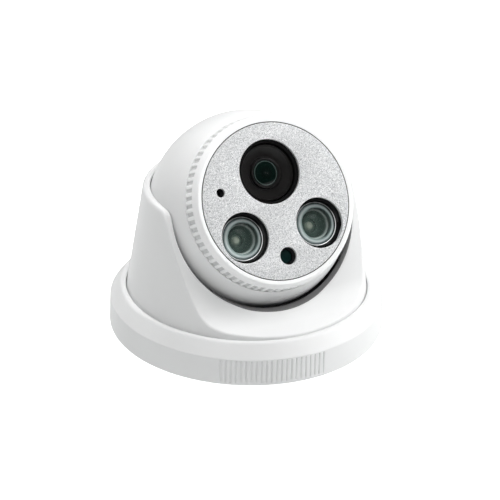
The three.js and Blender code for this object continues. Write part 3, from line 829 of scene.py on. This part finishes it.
def make_front_ring():
    """The ring that frames the face plate, with a band of knurled notches behind its rim."""
    recess = FACE_RADIUS + 0.18
    skirt_bore = 32.9
    flange_bore = 30.2
    flange_back = 23.9
    flange_front = 25.95
    profile = soften([
        (recess, FACE_OFFSET - 0.12, 0.1),
        (32.45, FACE_OFFSET - 0.05, 0.35),
        (33.3, 26.5, 0.5),
        (33.75, 25.1, 0.5),
        (34.1, 24.15, 0.25),
        (34.4, 22, 0.5),
        (34.5, RING_BACK, 0.2),
        (skirt_bore, RING_BACK),
        (skirt_bore, flange_back),
        (flange_bore, flange_back),
        (flange_bore, flange_front),
        (recess, flange_front),
    ])

    # Even rows down the band, so that the notches start cleanly.
    band = np.linspace(25, RING_BACK + 0.2, 24)
    is_outside = profile[:, 0] > KNURL_RADIUS
    outside = profile[is_outside]
    first = int(np.argmax((profile[:, 1] < band[0]) & is_outside))
    last = int(np.argmax((profile[:, 1] < band[-1]) & is_outside))
    order = np.argsort(outside[:, 1])
    band_radii = np.interp(band, outside[order, 1], outside[order, 0])
    profile = np.concatenate([profile[:first], np.stack([band_radii, band], axis=1), profile[last:]])

    notch_half_width = 0.34
    notch_flank = 0.13
    notch_fade = 0.4
    turn = np.arange(KNURL_NOTCHES * KNURL_STEPS) / KNURL_STEPS
    across = ease(np.clip((notch_half_width - np.abs(turn % 1 - 0.5)) / notch_flank, 0, 1))
    along = np.clip((KNURL_TOP + notch_fade / 2 - profile[:, 1]) / notch_fade, 0, 1)
    along[profile[:, 0] <= KNURL_RADIUS] = 0
    radii = profile[:, 0] - KNURL_DEPTH * across[:, None] * along
    ring = grid_object("front_ring_skin", turned(radii, profile[:, 1], turn * 2 * math.pi / KNURL_NOTCHES))

    # The floors of the notches are a duller plastic than the polished ring, and a darker grey: painted shade in
    # the notches.
    # The ring's white is painted lighter than the white plastic, standing for the brighter light on it.
    white = MATERIALS["painted_lit_trim_white"]
    shaded_floor_half_width = 0.29
    ring.data.materials.append(white)
    ring.data.materials.append(MATERIALS["groove_painted_shade"])
    for face in ring.data.polygons:
        middle = face.center / MM
        notch = math.degrees(math.atan2(middle.y, middle.x)) * KNURL_NOTCHES / 360 % 1
        in_band = middle.z < KNURL_TOP and middle.xy.length > KNURL_RADIUS
        face.material_index = int(in_band and abs(notch - 0.5) < shaded_floor_half_width)
    settle(ring, FACE_FRAME, "camera_module", "white_plastic", white, "front_ring", in_place=True)


# ---- Face ----
def dome(radius, top, fall, steps):
    """Profile points of a shallow dome, from its edge to its middle."""
    return [(r, top - fall * (r / radius) ** 2) for r in np.linspace(0, radius, steps)][::-1]


def make_face_plate():
    """A flat plate with five holes, whose edges have a small polished chamfer made brighter by a painted
    highlight, and a dark ring in the gap round it, which paints the gap's shade.
    """
    curve = bpy.data.curves.new("face_plate_outline", "CURVE")
    curve.dimensions = "2D"
    curve.fill_mode = "BOTH"
    curve.extrude = (PLATE_THICKNESS / 2 - PLATE_CHAMFER) * MM
    curve.bevel_depth = PLATE_CHAMFER * MM
    curve.bevel_resolution = 2
    curve.offset = -PLATE_CHAMFER * MM
    circles = [
        ((0, 0), FACE_RADIUS - 0.2, 256),
        (LENS_SPOT, LENS_HOLE, 128),
        (LED_SPOTS["left"], LED_HOLE, 128),
        (LED_SPOTS["right"], LED_HOLE, 128),
        (SENSOR_SPOT, SENSOR_HOLE, 64),
        (MIC_SPOT, MIC_HOLE, 48),
    ]
    for (x, y), radius, count in circles:
        spline = curve.splines.new("POLY")
        spline.points.add(count - 1)
        spline.use_cyclic_u = True
        for i, point in enumerate(spline.points):
            angle = 2 * math.pi * i / count
            point.co = ((x + radius * math.cos(angle)) * MM, (y + radius * math.sin(angle)) * MM, 0, 1)
    holder = bpy.data.objects.new("face_plate_outline", curve)
    bpy.context.scene.collection.objects.link(holder)
    mesh = bpy.data.meshes.new_from_object(holder.evaluated_get(bpy.context.evaluated_depsgraph_get()))
    bpy.data.objects.remove(holder)
    mesh.name = "face_plate_skin"
    clean(mesh, sharp=20)
    mesh.transform(Matrix.Translation((0, 0, (FACE_OFFSET - PLATE_THICKNESS / 2) * MM)))
    mesh.materials.clear()
    mesh.materials.append(MATERIALS["silver_plate"])
    mesh.materials.append(MATERIALS["bare_edge_and_highlight"])
    # The chamfer faces take the bright edge material, which is partly a painted highlight.
    for face in mesh.polygons:
        face.material_index = int(0.1 < face.normal.z < 0.99)
    plate = bpy.data.objects.new("face_plate_skin", mesh)
    bpy.context.scene.collection.objects.link(plate)
    settle(plate, FACE_FRAME, "camera_module", "silver_plate", MATERIALS["silver_plate"], "face_plate",
           in_place=True)

    # Painted shade: a dark rubber ring fills the gap round the plate, so that the gap shows as a dark line.
    gap_shade_inside = FACE_RADIUS - 0.18
    gap_shade_outside = FACE_RADIUS + 0.17
    gap_shade_back = FACE_OFFSET - 1.2
    gap_shade_front = FACE_OFFSET - 0.3
    gap_shade_ring = lathe("face_gap_shade_skin", [
        (gap_shade_inside, gap_shade_back),
        (gap_shade_outside, gap_shade_back),
        (gap_shade_outside, gap_shade_front),
        (gap_shade_inside, gap_shade_front),
    ])
    settle(gap_shade_ring, FACE_FRAME, "camera_module", "rubber", MATERIALS["rubber"], in_place=True)


def make_lens():
    """The trim ring, a shallow funnel of fine grooves, then the barrel and the domed front glass in it."""
    place = on_face(LENS_SPOT)
    groove_count = 9
    groove_pitch = 0.38
    groove_fall = 0.17
    groove_depth = 0.19
    grooves = []
    for i in range(groove_count):
        radius = 10.1 - i * groove_pitch
        height = 24.15 - i * groove_fall
        grooves.append((radius, height, 0.05))
        grooves.append((radius - groove_pitch / 2, height - groove_depth, 0.05))
    trim_bore = 6.3
    trim = lathe("lens_trim_ring_skin", [
        (trim_bore, 20),
        (10.4, 20),
        (11.2, 21),
        (11.2, 24.6, 0.3),
        (10.6, 25, 0.3),
        (10.3, 24.3, 0.2),
        *grooves,
        (trim_bore, 22.9, 0.15),
    ])
    settle(trim, place, "camera_module", "black_plastic", MATERIALS["lens_black"], "lens_trim_ring")
    barrel = lathe("lens_barrel_skin", [
        (3.2, 9.4),
        (5.5, 9.4),
        (5.5, 16),
        (6.1, 16.6),
        (6.1, 24.2, 0.3),
        (5.85, 24.35, 0.2),
        (5.4, 23.9, 0.2),
        (5.25, 23.6, 0.1),
        (5.2, 23.4, 0.05),
        (5.2, 22),
        (3.6, 20.6),
        (3.6, 12.6),
        (3.2, 12.2),
    ])
    settle(barrel, place, "lens", "black_plastic", MATERIALS["lens_black"], "lens_barrel")
    back = 22.4
    front = dome(5.1, 24.7, 1.2, 28)
    glass = lathe("lens_front_glass_skin", [(0, back), (3.4, back), (5.1, 22.9), *front], closed=False)
    settle(glass, place, "lens", "coated_glass", MATERIALS["coated_glass"], "lens_front_glass")


def make_led(side):
    """A lamp: a stepped optic with a dark throat, a thin domed window, and the emitter far down."""
    place = on_face(LED_SPOTS[side])
    optic = lathe(f"led_lens_{side}_skin", [
        (2.6, 16.0),
        (3.6, 16.0),
        (4.6, 16.8),
        (8.3, 22.4),
        (8.6, 23.0),
        (8.6, 24.2, 0.15),
        (8.45, 24.45, 0.1),
        (8.2, 24.4, 0.1),
        (8.05, 23.9, 0.15),
        (7.2, 24.6, 0.4),
        (6.15, 25.1, 0.25),
        (5.95, 22.9, 0.1),
        (5.85, 22.6, 0.15),
        (5.35, 22.3, 0.15),
        (5.1, 21.6, 0.2),
        (4.4, 20.0, 0.3),
        (2.6, 19.0, 0.3),
    ])
    settle(optic, place, "camera_module", "clear_lens", MATERIALS["led_optic"], f"led_lens_{side}")
    window_radius = 5.9
    window_front = dome(window_radius, 24.0, 1.3, 20)
    window = lathe(f"led_window_{side}_skin", [(0, 23.5), (window_radius, 22.5), *window_front],
                   closed=False)
    settle(window, place, "camera_module", "clear_lens", MATERIALS["led_window"])
    case_radius = 2.5
    case_back = 15.6
    bulb_radius = 1.5
    bulb_height = 1.1
    bulb_foot = 17.6
    bulb = [(bulb_radius * math.cos(angle), bulb_foot + bulb_height * math.sin(angle))
            for angle in np.linspace(0, math.pi / 2, 12)]
    emitter = lathe(f"led_emitter_{side}_skin", [
        (0, case_back),
        (case_radius, case_back),
        (case_radius, 17.4, 0.15),
        (1.6, 17.5, 0.05),
        *bulb,
    ], columns=96, closed=False)
    settle(emitter, place, "camera_module", "led_emitter", MATERIALS["led_emitter"], f"led_emitter_{side}")


def make_sensor():
    """A resin cell with a domed end, in a rubber sleeve behind its hole."""
    place = on_face(SENSOR_SPOT)
    cell_radius = 2.5
    cell_back = 14.4
    front = dome(cell_radius, 25.2, 0.5, 12)
    cell = lathe("light_sensor_skin", [(0, cell_back), (cell_radius, cell_back), *front], columns=96,
                 closed=False)
    settle(cell, place, "camera_module", "sensor_resin", MATERIALS["sensor_resin"], "light_sensor")
    bore, outside = 2.8, 3.5
    sleeve_back, sleeve_front = 18, 25.6
    sleeve = lathe("light_sensor_sleeve_skin", [
        (bore, sleeve_back),
        (outside, sleeve_back),
        (outside, sleeve_front, 0.2),
        (3.1, sleeve_front, 0.2),
        (bore, 25.2, 0.1),
    ], columns=96)
    settle(sleeve, place, "camera_module", "rubber", MATERIALS["rubber"], "light_sensor_sleeve")


def make_microphone_boot():
    """A rubber boot with a funnel that narrows to a sound hole over the capsule."""
    capsule_bore = 2.6
    outside = 3.3
    back, capsule_top, front = 19.6, 23.4, 25.6
    sound_hole = 1
    boot = lathe("microphone_boot_skin", [
        (capsule_bore, back),
        (outside, back),
        (outside, front, 0.2),
        (1.7, front, 0.1),
        (sound_hole, 24.2, 0.1),
        (sound_hole, capsule_top),
        (capsule_bore, capsule_top),
    ], columns=96)
    settle(boot, on_face(MIC_SPOT), "camera_module", "rubber", MATERIALS["rubber"], "microphone_boot")


# ---- Studio ----
# Round lamps: direction round the object from its front, height angle, and power in watts. The large ones
# aren't mirrored in glossy surfaces. The small glints are only mirrored, and light nothing else.
LAMPS = {
    "key_light": (60, 48, 6.6),
    "top_light": (0, 88, 2.9),
    "back_light": (180, 48, 9.6),
    "front_fill": (0, 48, 4.4),
    "left_fill": (-60, 48, 3.5),
    "right_edge": (80, 12, 8.4),
    "left_edge": (-120, 12, 1.9),
    "back_edge": (180, 12, 1.2),
}
GLINTS = {
    "upper_glint": (22, 35, 0.02),
    "lower_glint": (31, 29, 0.03),
}
LAMP_DISTANCE = 1.2
LAMP_SIZE = 0.7
GLINT_SIZE = 0.07

# The paper of the studio: its glow, and its sizes in metres.
PAPER_GLOW = 1.27
FLOOR_REACH = 6
FLOOR_GAP = 0.00005
BACKDROP_SIDES = 32
BACKDROP_RADIUS = 5
BACKDROP_FOOT = -0.2
BACKDROP_TOP = 5


def make_floor():
    """A plain sheet, just clear of the object's underside."""
    floor = bpy.data.objects.new("floor", bpy.data.meshes.new("floor"))
    reach = FLOOR_REACH
    corners = [(-reach, -reach, 0), (reach, -reach, 0), (reach, reach, 0), (-reach, reach, 0)]
    floor.data.from_pydata(corners, [], [(0, 1, 2, 3)])
    floor.location.z = -FLOOR_GAP
    return floor


def make_backdrop():
    """A round wall of paper with a lid, so that every view ends on paper."""
    backdrop = bpy.data.objects.new("backdrop", bpy.data.meshes.new("backdrop"))
    sides = range(BACKDROP_SIDES)
    ring = [(BACKDROP_RADIUS * math.cos(turn), BACKDROP_RADIUS * math.sin(turn))
            for turn in (side * 2 * math.pi / BACKDROP_SIDES for side in sides)]
    corners = [(x, y, level) for level in (BACKDROP_FOOT, BACKDROP_TOP) for x, y in ring]
    following = [(side + 1) % BACKDROP_SIDES for side in sides]
    walls = [(i, j, j + BACKDROP_SIDES, i + BACKDROP_SIDES) for i, j in zip(sides, following)]
    lid = tuple(side + BACKDROP_SIDES for side in sides)
    backdrop.data.from_pydata(corners, [], [*walls, lid])
    return backdrop


def make_studio():
    """Glowing paper that casts and bounces nothing itself, its glow as the world, and the lamps."""
    floor = make_floor()
    backdrop = make_backdrop()
    paper = Shader("studio_paper", Roughness=0.9, Emission_Strength=0.9)
    tone = paper.noise(3)
    paper.drive("Base Color", paper.ramp(tone, (0.3, 0.86), (0.7, 0.88)))
    paper.principled.inputs["Emission Color"].default_value = (1, 1, 1, 1)
    for sheet in (floor, backdrop):
        bpy.context.scene.collection.objects.link(sheet)
        sheet.data.materials.append(paper.material)
        sheet.visible_diffuse = False
        sheet.visible_glossy = False
        sheet.visible_shadow = False
    make_world()
    for name, lamp in LAMPS.items():
        add_lamp(name, *lamp, LAMP_SIZE)
    for name, lamp in GLINTS.items():
        holder = add_lamp(name, *lamp, GLINT_SIZE)
        holder.visible_glossy = True
        holder.visible_diffuse = False


def make_world():
    """The glow of the white paper, which comes up from below and fades out at the horizon."""
    world = bpy.data.worlds.new("studio")
    world.use_nodes = True
    tree = world.node_tree
    background = tree.nodes["Background"]
    direction = tree.nodes.new("ShaderNodeTexCoord")
    parts = tree.nodes.new("ShaderNodeSeparateXYZ")
    height = tree.nodes.new("ShaderNodeMapRange")
    height.inputs["From Min"].default_value = -1
    glow = tree.nodes.new("ShaderNodeValToRGB")
    stops = ((0, 1), (0.35, 0.68), (0.5, 0))
    while len(glow.color_ramp.elements) < len(stops):
        glow.color_ramp.elements.new(1)
    for element, (position, level) in zip(glow.color_ramp.elements, stops):
        element.position = position
        element.color = (level * 0.985, level, level * 0.995, 1)
    tree.links.new(direction.outputs["Generated"], parts.inputs[0])
    tree.links.new(parts.outputs["Z"], height.inputs["Value"])
    tree.links.new(height.outputs["Result"], glow.inputs["Fac"])
    tree.links.new(glow.outputs["Color"], background.inputs["Color"])
    background.inputs["Strength"].default_value = PAPER_GLOW
    bpy.context.scene.world = world


def add_lamp(name, turn, height, power, size):
    """A round lamp that shines at the ball's centre."""
    lamp = bpy.data.lights.new(name, "AREA")
    lamp.shape = "DISK"
    lamp.size = size
    lamp.energy = power
    holder = bpy.data.objects.new(name, lamp)
    turn, height = math.radians(turn), math.radians(height)
    offset = Vector((
        math.sin(turn) * math.cos(height),
        -math.cos(turn) * math.cos(height),
        math.sin(height),
    ))
    holder.location = BALL_CENTRE + offset * LAMP_DISTANCE
    holder.rotation_mode = "QUATERNION"
    holder.rotation_quaternion = (-offset).to_track_quat("-Z", "Y")
    holder.visible_glossy = False
    bpy.context.scene.collection.objects.link(holder)
    return holder


def make_camera():
    """A long lens, in front and to the left, that looks a little down."""
    azimuth, elevation, roll = math.radians(-27), math.radians(27.4), math.radians(1.39)
    distance = 1.0
    sideways = 0.99 * MM
    aim_height = 31.02 * MM
    target = Vector((sideways * math.cos(azimuth), sideways * math.sin(azimuth), aim_height))
    back = Vector((
        math.sin(azimuth) * math.cos(elevation),
        -math.cos(azimuth) * math.cos(elevation),
        math.sin(elevation),
    ))
    lens = bpy.data.cameras.new("camera")
    lens.sensor_width = 36
    lens.lens = 180.7
    lens.clip_end = 30
    camera = bpy.data.objects.new("camera", lens)
    turn = (-back).to_track_quat("-Z", "Y").to_matrix() @ Matrix.Rotation(roll, 3, "Z")
    camera.matrix_world = Matrix.Translation(target + back * distance) @ turn.to_4x4()
    bpy.context.scene.collection.objects.link(camera)
    bpy.context.scene.camera = camera


# ---- CAD nodes ----
def finish_carried_nodes():
    """Every CAD node gets the material of its slot in the record."""
    for subpart in frame["record"]["subparts"]:
        node = frame["nodes"][subpart["node"]]
        node.data.materials.clear()
        node.data.materials.append(MATERIALS[subpart["material_slot"]])


# ---- Assembly ----
make_camera()
make_studio()
finish_carried_nodes()
make_cup()
make_lock_ring()
make_ball_shell()
make_front_ring()
make_face_plate()
make_lens()
for led_side in LED_SPOTS:
    make_led(led_side)
make_sensor()
make_microphone_boot()

bpy.context.scene.view_settings.view_transform = "Standard"
